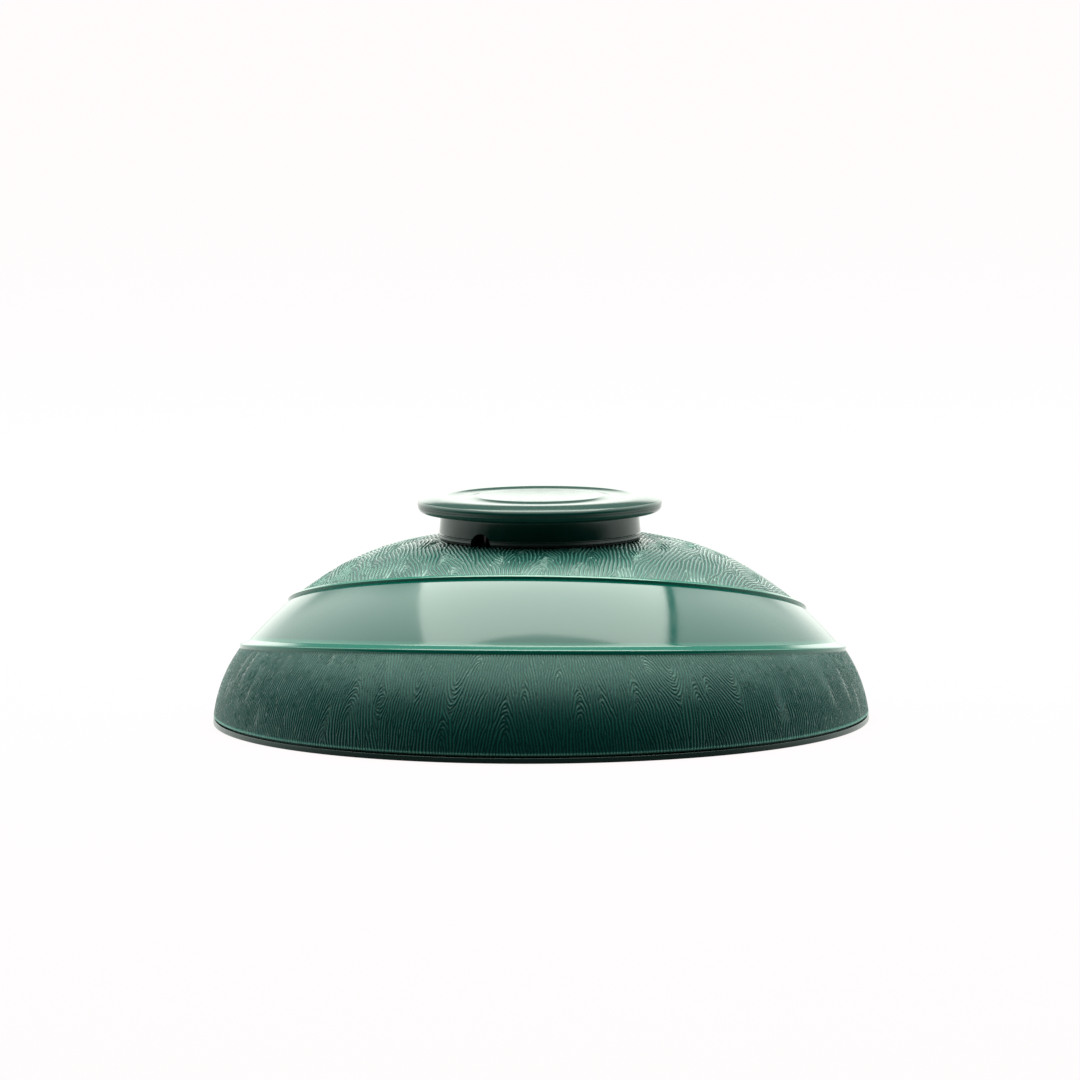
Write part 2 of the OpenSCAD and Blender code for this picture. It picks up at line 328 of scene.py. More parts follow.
def s_at_height(height, offset=0.0):
    return float(bisect(lambda s: outline(s, offset)[1] - height, np.array(60.0), np.array(190.0)))


def s_at_edge(edge, away, offset, turn):
    """Where the surface at offset is away above an edge's slanted plane, at each angle round the axis."""
    def over(s):
        radius, height = outline(s, offset)
        side = radius * np.sin(turn) * math.sin(edge["slant"])
        return side + (height - edge["z"]) * math.cos(edge["slant"]) - away
    return bisect(over, np.full_like(turn, 58.0), np.full_like(turn, 185.0))


def place(s, offset, turn):
    """Points of rows of s and offset at each angle round the axis, as [row, column, xyz]."""
    radius, height = outline(s, offset)
    return np.stack([radius * np.cos(turn), radius * np.sin(turn), height + 0 * turn], axis=-1)


def across(start, end, steps):
    """Rows from start to end, both included."""
    t = np.linspace(0, 1, steps + 1)[:, None]
    return start * (1 - t) + end * t


# ---- grain: ridges that follow a field of directions, as in wood or a fingerprint ----

def smooth_noise(rng, shape, cell, size):
    """Noise of strength 1 on a grid of cells, with nothing in it much finer than size."""
    fy = np.fft.fftfreq(shape[0], cell)[:, None]
    fx = np.fft.rfftfreq(shape[1], cell)[None, :]
    keep = np.exp(-0.5 * (fx**2 + fy**2) * (2.2 * size) ** 2)
    noise = np.fft.irfft2(np.fft.rfft2(rng.standard_normal(shape)) * keep, s=shape)
    return noise / noise.std()


def grow_ridges(rng, direction, cell, pitch, spread, sharp, rounds=10, banks=12):
    """Filters noise again and again with waves that run across the wanted direction at each point."""
    shape = direction.shape
    fy = np.fft.fftfreq(shape[0], cell)[:, None]
    fx = np.fft.rfftfreq(shape[1], cell)[None, :]
    heading = np.arctan2(fy, fx)
    near_pitch = np.exp(-0.5 * ((np.hypot(fx, fy) * pitch - 1) / sharp) ** 2)
    filters, shares = [], []
    for bank in range(banks):
        toward = math.pi * bank / banks
        off = np.angle(np.exp(2j * (heading - toward))) / 2
        filters.append((near_pitch * np.exp(-0.5 * (off / spread) ** 2)).astype(np.float32))
        off = np.abs(np.angle(np.exp(2j * (direction + math.pi / 2 - toward))) / 2)
        shares.append(np.clip(1 - off * banks / math.pi, 0, 1).astype(np.float32))
    ridges = rng.standard_normal(shape).astype(np.float32)
    for _ in range(rounds):
        waves = np.fft.rfft2(ridges)
        grown = sum(w * np.fft.irfft2(waves * f, s=shape) for f, w in zip(filters, shares))
        ridges = np.tanh(grown * (1.6 / grown.std()))
    return grown / grown.std()


def evened(field, cell, size):
    """The field with the strength of its waves made nearly the same everywhere."""
    fy = np.fft.fftfreq(field.shape[0], cell)[:, None]
    fx = np.fft.rfftfreq(field.shape[1], cell)[None, :]
    keep = np.exp(-0.5 * (fx**2 + fy**2) * (2 * math.pi * size) ** 2)
    power = np.fft.irfft2(np.fft.rfft2(field**2) * keep, s=field.shape)
    return field / np.sqrt(2 * np.maximum(power, 0.04))


def finer(field, times=2):
    """The same smooth field on a finer grid."""
    shape = [n * times for n in field.shape]
    waves = np.fft.fftshift(np.fft.fft2(field))
    pad = [((a - b) // 2, (a - b) // 2) for a, b in zip(shape, field.shape)]
    return np.fft.ifft2(np.fft.ifftshift(np.pad(waves, pad))).real * times**2


def look_up(field, u, v):
    """The field's value at column u and row v, which both wrap round."""
    column, row = np.floor(u).astype(int), np.floor(v).astype(int)
    du, dv = u - column, v - row
    height, width = field.shape
    made = 0
    for step_v, share_v in ((0, 1 - dv), (1, dv)):
        for step_u, share_u in ((0, 1 - du), (1, du)):
            corner = field[(row + step_v) % height, (column + step_u) % width]
            made = made + share_u * share_v * corner
    return made


def lines_round(spot, pairs, long, lean=0.0, wrap=None):
    """Direction of upright lines that arch over each pair's first point and part at its second.

    long is how much longer than wide the arches are, lean turns the lines with distance to the side, and
    wrap is the distance after which everything repeats.
    """
    def squeeze(at):
        at = at.real * long + 1j * at.imag
        return np.sin(at * math.pi / (wrap * long)) if wrap else at
    turn = np.ones(spot.shape, dtype=complex)
    for core, split in pairs:
        ratio = squeeze(spot - core) * np.conj(squeeze(spot - split))
        turn *= ratio / np.maximum(np.abs(ratio), 1e-12)
    along = math.pi / 2 + np.angle(turn) / 2 - lean * spot.real
    return np.arctan2(np.sin(along) * long, np.cos(along))


def crown_grain(seed):
    """Function of distance from the axis and angle: lines run front to back, with arches and whorls."""
    rng = np.random.default_rng(seed)
    cells, cell = ((1024, 0.285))
    line = (np.arange(cells) - cells / 2) * cell
    x, y = np.meshgrid(line, line)
    reach, between, between_rows, long = 138, 15, 24, 2.6
    pairs = []
    for row, y_row in enumerate(np.arange(2 - reach, 2 + reach, between_rows)):
        for x_pair in np.arange(-reach, 4 + reach, between) + between / 2 * (row % 2):
            middle = complex(x_pair + rng.uniform(-3, 3), y_row + rng.uniform(-9, 9))
            gap = rng.uniform(5, 17)
            up = -1 if rng.random() < 0.15 else 1
            pairs.append((middle - 0.5j * up * gap, middle + 0.5j * up * gap))
    # The pairs together turn the lines more and more towards the sides, and the lean takes that out
    strength = sum(split.imag - core.imag for core, split in pairs) / (2 * reach) ** 2
    direction = lines_round(x + 1j * y, pairs, long, lean=math.pi * strength / (1 + long))
    direction = direction + 0.09 * smooth_noise(rng, x.shape, cell, 7)
    ridges = grow_ridges(rng, direction, cell, CROWN_PITCH, spread=0.22, sharp=0.22, rounds=8)
    field = finer(evened(ridges, cell, 1.5))
    fine = cell / 2

    def read(s, turn):
        return look_up(field, s * np.cos(turn) / fine + cells, s * np.sin(turn) / fine + cells)
    return read


def skirt_grain(seed, length, height):
    """Function of the way round and up the skirt: fine upright lines with pointed arches."""
    rng = np.random.default_rng(seed)
    columns, rows = ((3200, 220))
    cell = height / rows
    x, y = np.meshgrid(np.arange(columns) * length / columns, np.arange(rows) * cell)
    arches, long = 84, 3.2
    pairs = []
    for i in range(arches):
        middle = (i + rng.uniform(-0.4, 0.4)) * length / arches
        level = rng.uniform(4, height - 8)
        gap = rng.uniform(6, 18)
        up = -1 if rng.random() < 0.2 else 1
        pairs.append((middle + 1j * (level - up * gap / 2), middle + 1j * (level + up * gap / 2)))
    direction = lines_round(x + 1j * y, pairs, long, wrap=length)
    direction = direction + 0.07 * smooth_noise(rng, x.shape, cell, 6)
    ridges = grow_ridges(rng, direction, cell, SKIRT_PITCH, spread=0.24, sharp=0.4, rounds=6)
    field = finer(evened(ridges, cell, 1.1))

    def read(way, up):
        return look_up(field, way / length * 2 * columns, up / cell * 2)
    return read


# ---- shell ----

def angles(columns):
    return np.linspace(0, 2 * math.pi, columns, endpoint=False)


def make_shell_top():
    """Zone between the neck and the band: flat-topped ridges with grooves between them."""
    columns, rows = ((2200, 280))
    turn = angles(columns)
    low = s_at_edge(UPPER_EDGE, UPPER_HALF - TUCK, -BAND_INSET, turn)
    s = across(low, CROWN_S, rows)
    wave = crown_grain(11)(s, turn)
    ridge = smoothstep(-0.35, 0.75, wave)
    fade = smoothstep(0.3, 1.0, low - s) * smoothstep(0, 2, s - CROWN_S)
    depth = CROWN_DEPTH * (1 - ridge) * fade
    outer = place(s, -BAND_INSET - depth, turn)
    inner = place(across(np.full_like(low, CROWN_S), low, 8), -SHELL_INSIDE, turn)
    values = np.concatenate([np.where(fade > 0, wave, 0), np.zeros(inner.shape[:2])])
    return ring_mesh("shell_top", np.concatenate([outer, inner]), 75, values)


def edge_rows(edge, section, turn):
    """Rows of a raised edge whose section is given as (distance above the plane, offset)."""
    return np.concatenate([
        place(s_at_edge(edge, away, offset, turn)[None, :], offset, turn) for away, offset in section
    ])


def make_shell_band():
    """Smooth band with its two raised edges."""
    turn = angles(720)
    top = UPPER_PROUD - BAND_INSET
    upper = round_corners([
        (-1.0, -BAND_INSET, 0), (-0.8, -BAND_INSET, 0.15), (0.05, top, 0.3),
        (0.9, top - 0.05, 0.25), (UPPER_HALF, -BAND_INSET, 0), (UPPER_HALF, -BAND_INSET - 0.5, 0),
    ])[:-1]
    out = LOWER_PROUD - BAND_INSET
    lower = round_corners([
        (-LOWER_BELOW, -0.5, 0), (-LOWER_BELOW, 0.0, 0.15), (-0.55, out, 0.5),
        (LOWER_ABOVE - 0.3, -BAND_INSET, 0.6), (LOWER_ABOVE + 0.7, -BAND_INSET, 0),
    ])
    face_low = s_at_edge(LOWER_EDGE, LOWER_ABOVE + 0.7, -BAND_INSET, turn)
    face_high = s_at_edge(UPPER_EDGE, -UPPER_HALF, -BAND_INSET, turn)
    face = place(across(face_low, face_high, 40)[1:-1], -BAND_INSET, turn)
    wall_low = s_at_edge(LOWER_EDGE, -LOWER_BELOW, -SHELL_INSIDE, turn)
    wall_high = s_at_edge(UPPER_EDGE, UPPER_HALF, -SHELL_INSIDE, turn)
    wall = place(across(wall_high, wall_low, 8), -SHELL_INSIDE, turn)
    parts = dict(
        lower_edge=edge_rows(LOWER_EDGE, lower, turn),
        face=face,
        upper_edge=edge_rows(UPPER_EDGE, upper, turn),
        inside=wall,
    )
    marks = [np.full(rows.shape[:2], BAND_EDGE_PAINTED_LIGHT[part]) for part, rows in parts.items()]
    return ring_mesh("shell_band", np.concatenate(list(parts.values())), 50, np.concatenate(marks))


def make_shell_skirt():
    """Skirt under the band, with fine upright grain, and the thick foot that the liner locks into."""
    columns, rows = ((3000, 90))
    turn = angles(columns)
    foot_z, edge, grain_height = 2.65, 0.45, 54.0
    s_foot = s_at_height(foot_z + edge)
    high = s_at_edge(LOWER_EDGE, TUCK - LOWER_BELOW, 0.0, turn)
    s = across(np.full_like(high, s_foot), high, rows)
    grain = skirt_grain(5, 2 * math.pi * SKIRT_R, grain_height)
    wave = grain(turn * SKIRT_R, s_foot - s)
    ridge = smoothstep(-0.6, 0.8, wave)
    depth = SKIRT_DEPTH * (1 - ridge) * smoothstep(0.1, 0.7, s - high)
    outer = place(s, -depth, turn)
    # The edge over the foot is marked for a painted highlight, which makes it pale
    shade = wave + 3 * smoothstep(1.1, 0.5, s_foot - s)
    inside_r, foot_in, groove_in, groove_out, foot_out = 122.92, 121.2, 122.3, 124.0, 125.1
    foot_low, groove_top, foot_top = 2.1, 4.8, 7.5
    foot = [(inside_r, foot_top), (foot_in, foot_top), (foot_in, foot_low)]
    foot += [(groove_in, foot_low), (groove_in, groove_top)]
    foot += [(groove_out, groove_top), (groove_out, foot_low)]
    foot += [(foot_out, foot_low), (foot_out, foot_z), (outline(s_foot)[0] - edge, foot_z)]
    lip = np.array([[(r * math.cos(t), r * math.sin(t), z) for t in turn] for r, z in foot])
    s_inside = s_at_height(foot_top, -SHELL_INSIDE)
    inner = place(across(high, np.full_like(high, s_inside), 8)[:-1], -SHELL_INSIDE, turn)
    plain = np.zeros((len(inner) + len(lip), columns))
    values = np.concatenate([shade, plain])
    return ring_mesh("shell_skirt", np.concatenate([outer, inner, lip]), 60, values)


def make_shell_crown():
    """Flat middle of the shell inside the knob's neck, with holes for plug, vents and screws."""
    plug_r, screw_r, screw_far, vent_r, vent_far = 9.1, 2.2, 27, 2.25, 20
    ring = [(plug_r, CEILING_Z), (CROWN_S, CEILING_Z), (CROWN_S, CROWN_Z), (plug_r, CROWN_Z)]
    made = turned("shell_crown", ring, 180)
    holes = [(screw_far, math.radians(45 + 90 * i), screw_r) for i in range(4)]
    holes += [(vent_far, math.pi * i, vent_r) for i in range(2)]
    cutters = []
    for far, turn, radius in holes:
        x, y = far * math.cos(turn), far * math.sin(turn)
        cutters.append(rod(radius, (x, y, CEILING_Z - 1), (x, y, CROWN_Z + 1)))
    carve(made, cutters)
    return made


# ---- liner ----

def make_liner():
    """Inner shell: lip under the skirt, step for a plate's base, domed ceiling with a recess."""
    nest_r, nest_z, wall = 50.0, 57.8, 2.2
    seat_r, seat_h = 118.0, 5.0
    rim_r, flange = 127.2, 2.1
    tongue_out, tongue_in, tongue_top = 123.9, 122.4, 4.3
    out_foot = s_at_height(seat_h + wall, -LINER_OUTSIDE)
    in_foot = s_at_height(seat_h, -LINER_INSIDE)

    def run(offset, start_s, stop_r, steps):
        stop = float(bisect(lambda s: stop_r - outline(s, offset)[0], np.array(40.0), np.array(120.0)))
        s = np.linspace(start_s, stop, steps)
        return [(float(r), float(z), 0) for r, z in zip(*outline(s, offset))]
    outside = run(-LINER_OUTSIDE, out_foot, nest_r + wall, 30)
    inside = run(-LINER_INSIDE, in_foot, nest_r, 30)[::-1]
    corners = [(seat_r, 0, 0.5), (rim_r, 0, 0.35), (rim_r, flange, 0.35)]
    corners += [(tongue_out, flange, 0), (tongue_out, tongue_top, 0)]
    corners += [(tongue_in, tongue_top, 0), (tongue_in, flange, 0)]
    corners += [(seat_r + wall, flange, 0), (seat_r + wall, seat_h + wall, 0.8)]
    corners += outside + [(nest_r + wall, nest_z + wall, 0.8), (0, nest_z + wall, 0), (0, nest_z, 0)]
    corners += [(nest_r, nest_z, 0.9)] + inside + [(seat_r, seat_h, 0.5)]
    return turned("liner", round_corners(corners), 480)


# ---- knob ----

def make_knob_base():
    """Hollow neck and the lower half of the disc."""
    bore_r = NECK_TOP_R - NECK_WALL
    spigot_r = bore_r - 2.6
    line_z = CROWN_Z + 2
    corner_r = DISC_LINE - DISC_LOW - 0.1
    skin_r = DISC_R - 0.1
    points = [(bore_r, NECK_FOOT, 0.2), (NECK_R, NECK_FOOT, 0.35)]
    points += [(NECK_R - 0.1, line_z - 0.15, 0.1), (NECK_R + 0.15, line_z + 0.05, 0.1)]
    points += [(NECK_R + 0.15, line_z + 0.35, 0.1), (NECK_R - 0.2, line_z + 0.6, 0.1)]
    points += [(NECK_TOP_R, DISC_LOW - 1.1, 0.8), (NECK_TOP_R + 0.7, DISC_LOW, 0.3)]
    under = arc_points(skin_r - corner_r, DISC_LOW + corner_r, corner_r, -90, -2, 14)
    points += [(x, z, 0) for x, z in under]
    points += [(skin_r, DISC_LINE - 0.02, 0.12), (skin_r - 0.5, DISC_LINE - 0.02, 0)]
    points += [(bore_r, DISC_LINE - 0.02, 0), (bore_r, DISC_LINE - 0.9, 0)]
    points += [(spigot_r - 0.2, DISC_LINE - 0.9, 0), (spigot_r - 0.2, DISC_LOW, 0.3)]
    points += [(bore_r - 0.6, DISC_LOW, 0), (bore_r, DISC_LOW - 0.6, 0)]
    made = turned("grip_base", round_corners(points), 360)
    aim = Vector((math.cos(NOTCH_AT), math.sin(NOTCH_AT), 0))
    level = Vector((0, 0, CROWN_Z))
    carve(made, [rod(NOTCH_R, aim * 31 + level, aim * 46 + level)])
    return made


def cap_height(radius):
    """Height of the cap's top inside its flat ring: a dish, a low ridge round it, and a trough."""
    def hollow(middle, half, depth):
        bend = (half**2 + depth**2) / (2 * depth)
        away = np.clip(np.abs(radius - middle), 0, half)
        return bend - depth - np.sqrt(bend**2 - away**2)
    return DISC_TOP - np.maximum(0, -hollow(0, 24.0, 1.0)) - np.maximum(0, -hollow(30.3, 5.7, 0.8))


def make_knob_cap():
    """Top half of the disc: dish, trough, flat ring and round edge."""
    slope = math.radians(20)
    width, drop = DISC_R - FLAT_R, DISC_TOP - DISC_MID
    turn_s, turn_c = 1 - math.sin(slope), 1 - math.cos(slope)
    spare = math.cos(slope) * math.sin(slope) - turn_s * turn_c
    nose_r = (drop * math.sin(slope) - width * turn_c) / spare
    long_r = (width - nose_r * turn_s) / math.sin(slope)
    fine = np.linspace(-FLAT_R, FLAT_R, 1521)
    kernel = np.exp(-0.5 * (np.linspace(-1.5, 1.5, 61) / 0.45) ** 2)
    soft = np.convolve(cap_height(np.abs(fine)) - DISC_TOP, kernel / kernel.sum(), "same") + DISC_TOP
    top_r = np.linspace(FLAT_R, 0, 96)
    top = [(r, z, 0) for r, z in zip(top_r, np.interp(top_r, fine, soft))]
    roof, spigot_r = DISC_LINE + 1, NECK_TOP_R - NECK_WALL - 2.6
    points = [(0, roof, 0), (spigot_r, roof, 0), (spigot_r, DISC_LINE - 0.8, 0.2)]
    points += [(spigot_r + 2, DISC_LINE - 0.8, 0.2), (spigot_r + 2, DISC_LINE, 0)]
    points += [(DISC_R - 0.1, DISC_LINE, 0.12), (DISC_R - 0.1, DISC_LINE + 0.2, 0.05)]
    points += [(x, z, 0) for x, z in arc_points(DISC_R - nose_r, DISC_MID, nose_r, 0, 70, 12)]
    points += [(x, z, 0) for x, z in arc_points(FLAT_R, DISC_TOP - long_r, long_r, 70, 90, 14)[1:-1]]
    return turned("grip_cap", round_corners(points + top), 360)


# ---- materials ----

class Nodes:
    """Short ways to add shader nodes to a new material, or to a world."""

    def __init__(self, name, world=None):
        self.owner = world or bpy.data.materials.new(name)
        self.owner.use_nodes = True
        self.tree = self.owner.node_tree
        self.shader = self.tree.nodes["Background" if world else "Principled BSDF"]

    def add(self, kind, **settings):
        node = self.tree.nodes.new(kind)
        for key, value in settings.items():
            if key in node.inputs:
                self.feed(value, node.inputs[key])
            else:
                setattr(node, key, value)
        return node

    def feed(self, source, socket):
        if isinstance(source, bpy.types.NodeSocket):
            self.tree.links.new(source, socket)
        else:
            socket.default_value = source

    def math(self, operation, *values):
        node = self.add("ShaderNodeMath", operation=operation)
        for socket, value in zip(node.inputs, values):
            self.feed(value, socket)
        return node.outputs[0]

    def place(self, scale=(1, 1, 1)):
        """Position on the object in millimetres, stretched by scale."""
        where = self.add("ShaderNodeTexCoord").outputs["Object"]
        scaled = [1000 * v for v in scale]
        node = self.add("ShaderNodeVectorMath", operation="MULTIPLY")
        self.feed(where, node.inputs[0])
        node.inputs[1].default_value = scaled
        return node.outputs[0]

    def noise(self, where, size, detail=2.0, roughness=0.5):
        """Noise from 0 to 1 whose features are size millimetres wide."""
        settings = dict(Vector=where, Scale=1 / size, Detail=detail, Roughness=roughness)
        return self.add("ShaderNodeTexNoise", **settings).outputs[0]

    def dot(self, where, direction):
        """How far along a direction a place is."""
        node = self.add("ShaderNodeVectorMath", operation="DOT_PRODUCT")
        self.feed(where, node.inputs[0])
        node.inputs[1].default_value = direction
        return node.outputs["Value"]

    def blend(self, share, low, high):
        """Number between low and high."""
        node = self.add("ShaderNodeMapRange")
        self.feed(share, node.inputs[0])
        for socket, value in zip(list(node.inputs)[1:5], (0.0, 1.0, low, high)):
            self.feed(value, socket)
        return node.outputs[0]

    def ramp(self, value, low, high):
        """0 below low and 1 above high, smooth between."""
        node = self.add("ShaderNodeMapRange", interpolation_type="SMOOTHSTEP")
        self.feed(value, node.inputs[0])
        for socket, number in zip(list(node.inputs)[1:5], (low, high, 0.0, 1.0)):
            self.feed(number, socket)
        return node.outputs[0]

    def colours(self, share, low, high):
        node = self.add("ShaderNodeMix", data_type="RGBA")
        self.feed(share, node.inputs[0])
        for socket, colour in ((node.inputs[6], low), (node.inputs[7], high)):
            if isinstance(colour, bpy.types.NodeSocket):
                self.feed(colour, socket)
            else:
                socket.default_value = (*colour, 1)
        return node.outputs[2]

    def bump(self, height, depth, normal=None):
        """Bump of a height from 0 to 1 that is depth millimetres deep."""
        node = self.add("ShaderNodeBump", Height=height, Distance=depth * MM, Strength=1.0)
        if normal is not None:
            self.feed(normal, node.inputs["Normal"])
        return node.outputs[0]

    def finish(self, colour=None, roughness=None, normal=None, **fixed):
        for name, value in (("Base Color", colour), ("Roughness", roughness), ("Normal", normal)):
            if value is not None:
                self.feed((*value, 1) if isinstance(value, tuple) else value, self.shader.inputs[name])
        for name, value in fixed.items():
            self.shader.inputs[name.replace("_", " ")].default_value = value
        return self.owner


def grain_plastic(name, groove, pale, rough_top, rough_groove, fleck, shine):
    """Moulded green plastic whose ridge tops are glossier than its grooves and painted paler, as a
    painted highlight.
    """
    n = Nodes(name)
    where = n.place()
    wave = n.add("ShaderNodeAttribute", attribute_name="relief_and_painted_light").outputs["Fac"]
    top = n.ramp(wave, 0.0, 0.7)
    cloud = n.noise(where, 14, 3)
    fine = n.noise(where, 0.5, 3, 0.65)
    # The ridge tops get a painted highlight: a pale colour, with tone that varies at random
    shade = n.colours(n.blend(cloud, 0.45, 1.0), groove, pale)
    colour = n.colours(top, groove, shade)
    # Painted highlight: where the waves run high, as at the skirt's foot edge, the colour is painted pale
    colour = n.colours(n.ramp(wave, PAINTED_HIGHLIGHT_FROM, PAINTED_HIGHLIGHT_TO), colour, GREEN_PAINTED_HIGHLIGHT)
    grit = n.math("ADD", n.blend(fine, -fleck, fleck), n.blend(cloud, -0.05, 0.05))
    rough = n.math("ADD", n.blend(top, rough_groove, rough_top), grit)
    normal = n.bump(fine, 0.035)
    return n.finish(colour, rough, normal, IOR=shine, Specular_Tint=(0.62, 1.0, 0.88, 1))


def smooth_plastic(name, colour, pale, rough, lines=0.004, sag=0.03, edge=None):
    """Glossy moulded plastic with faint moulding lines, slow waves in its face and light use marks.

    lines and sag are the depths of the lines and the waves, and edge is a colour painted as light, on the
    band's raised edges, where the mesh attribute is 1.
    """
    n = Nodes(name)
    where = n.place()
    cloud = n.noise(where, 30, 3)
    layer = n.noise(n.place((0.05, 0.05, 1)), 1.6, 2, 0.6)
    smear = n.noise(n.place((1, 1, 0.35)), 5, 4, 0.6)
    dust = n.noise(where, 0.35, 2, 0.7)
    tint = n.colours(n.blend(cloud, 0.0, 0.8), colour, pale)
    if edge is not None:
        raised = n.add("ShaderNodeAttribute", attribute_name="relief_and_painted_light").outputs["Fac"]
        # Painted light: the band's raised edges are painted a brighter green
        tint = n.colours(raised, tint, edge)
    roughness = n.math("ADD", n.blend(smear, rough * 0.6, rough * 1.5), n.blend(dust, -0.02, 0.02))
    slow = n.bump(n.noise(where, 24, 1), sag)
    ruled = n.bump(layer, lines, slow)
    return n.finish(tint, roughness, n.bump(dust, 0.0015, ruled), IOR=1.5)


def rubber(name):
    """Dull black rubber with fine pores."""
    n = Nodes(name)
    where = n.place()
    pores = n.noise(where, 0.4, 3, 0.7)
    cloud = n.noise(where, 6, 3)
    colour = n.colours(cloud, (0.006, 0.008, 0.008), (0.02, 0.024, 0.023))
    return n.finish(colour, n.blend(pores, 0.55, 0.8), n.bump(pores, 0.02), IOR=1.5)


def foam(name):
    """Cream rigid foam with open cells at its skin."""
    n = Nodes(name)
    where = n.place()
    cells = n.add("ShaderNodeTexVoronoi", Vector=where, Scale=1.25).outputs[0]
    cloud = n.noise(where, 9, 4)
    colour = n.colours(cloud, (0.72, 0.6, 0.34), (0.86, 0.78, 0.52))
    return n.finish(colour, n.blend(cells, 0.75, 0.95), n.bump(cells, 0.25), IOR=1.4)


def steel(name):
    """Bright steel, brushed along the screws."""
    n = Nodes(name)
    brushed = n.noise(n.place((1, 1, 0.08)), 0.3, 3, 0.6)
    cloud = n.noise(n.place(), 3, 3)
    colour = n.colours(cloud, (0.5, 0.5, 0.5), (0.66, 0.66, 0.65))
    return n.finish(colour, n.blend(brushed, 0.22, 0.4), n.bump(brushed, 0.004), Metallic=1.0)


# ---- stage, light and camera ----

def glowing(name, colour, strength, base=(0.0, 0.0, 0.0)):
    """Dull paint that gives off light."""
    return Nodes(name).finish(
        base, 1.0, Emission_Color=(*colour, 1), Emission_Strength=strength, Specular_IOR_Level=0.0
    )


def hide_from(made, *kinds):
    for kind in kinds:
        setattr(made, "visible_" + kind, False)


def make_floor():
    """Level disc that the camera sees as plain and pale, with a faint mottle."""
    mesh = bpy.data.meshes.new("floor")
    corners = [(FLOOR_R * math.cos(t) * MM, FLOOR_R * math.sin(t) * MM, 0) for t in angles(96)]
    mesh.from_pydata(corners, [], [range(len(corners))])
    n = Nodes("floor_paint")
    mottle = n.noise(n.place(), 40, 2)
    colour = n.colours(mottle, (0.035, 0.034, 0.034), (0.037, 0.036, 0.036))
    mesh.materials.append(n.finish(
        colour, 0.9, Emission_Color=(*FLOOR_WHITE, 1), Emission_Strength=1.0, Specular_IOR_Level=0.0
    ))
    return new_object("floor", mesh)


def make_surround():
    """Half a ball over the floor's edge, as a backdrop."""
    sides, height = 64, np.radians(np.linspace(0, 90, 13))
    profile = [(FLOOR_R * math.cos(h), FLOOR_R * math.sin(h)) for h in height]
    turn = angles(sides)
    points = np.array([[(r * math.cos(t), r * math.sin(t), z) for t in turn] for r, z in profile])
    row = np.arange(len(profile) - 1)[:, None] * sides
    column = np.arange(sides)[None, :]
    beside = (column + 1) % sides
    corners = [row + column, row + beside, row + sides + beside, row + sides + column]
    faces = np.stack(corners, axis=-1).reshape(-1, 4)
    made = new_object("surround", mesh_from("surround", points.reshape(-1, 3), faces, 180))
    made.data.materials.append(glowing("surround_paint", BACKDROP_WHITE, 1.0))
    return made


def make_floor_light(floor):
    """The floor as the object sees it: bright behind it and beside it, and dark on the camera's side."""
    made = new_object("floor_light", floor.data.copy())
    n = Nodes("floor_light_paint")
    heading = n.add("ShaderNodeVectorMath", operation="NORMALIZE")
    n.feed(n.place(), heading.inputs[0])
    behind = n.dot(heading.outputs[0], TO_BACK)
    n.feed(n.blend(n.ramp(behind, -0.95, -0.2), 0.1, 1.15), n.shader.inputs["Emission Strength"])
    made.data.materials.clear()
    made.data.materials.append(n.finish(
        (0.03, 0.03, 0.03), 1.0, Emission_Color=(*LIGHT_FROM_FLOOR, 1), Specular_IOR_Level=0.0
    ))
    made.location.z = -0.0005
    return made


def make_stage():
    """Plain pale floor and backdrop that only the camera sees, and a floor that lights the object."""
    floor = make_floor()
    surround = make_surround()
    hide_from(surround, "diffuse", "glossy", "transmission", "shadow", "volume_scatter")
    hide_from(floor, "diffuse", "glossy", "transmission")
    bounce = make_floor_light(floor)
    hide_from(bounce, "camera")


def make_world():
    """Room that is bright overhead, dark on the camera's side and in a gap low behind the object."""
    world = bpy.data.worlds.new("room")
    bpy.context.scene.world = world
    n = Nodes("room", world)
    where = n.add("ShaderNodeTexCoord").outputs["Generated"]
    height = n.dot(where, (0, 0, 1))

    def without(share):
        return n.math("SUBTRACT", 1.0, share)

    lean_back, horizon = 0.55, 0.08
    steep = n.math("SUBTRACT", n.dot(where, TO_BACK * lean_back + Vector((0, 0, 1))), horizon)
    glow = n.math("MULTIPLY", n.math("POWER", n.math("MAXIMUM", steep, 0.0), 2.0), SKY)
    middle = n.ramp(n.math("ABSOLUTE", n.dot(where, TO_RIGHT)), 0.42, 0.25)
    low_gap = n.math("MULTIPLY", n.ramp(height, 0.24, 0.34), without(n.ramp(height, 0.62, 0.82)))
    gap_dark, level_glow = 0.88, 0.85
    lost = n.math("MULTIPLY", n.math("MULTIPLY", low_gap, middle), gap_dark)
    overhead = n.math("MULTIPLY", glow, without(lost))
    beside = n.ramp(n.dot(where, TO_BACK), -0.45, 0.15)
    level = n.math("MULTIPLY", beside, without(n.ramp(height, 0.08, 0.4)))
    strength = n.math("ADD", overhead, n.math("MULTIPLY", level, level_glow))
    n.feed(strength, n.shader.inputs["Strength"])
    n.shader.inputs["Color"].default_value = (*LIGHT_FROM_ROOM, 1)


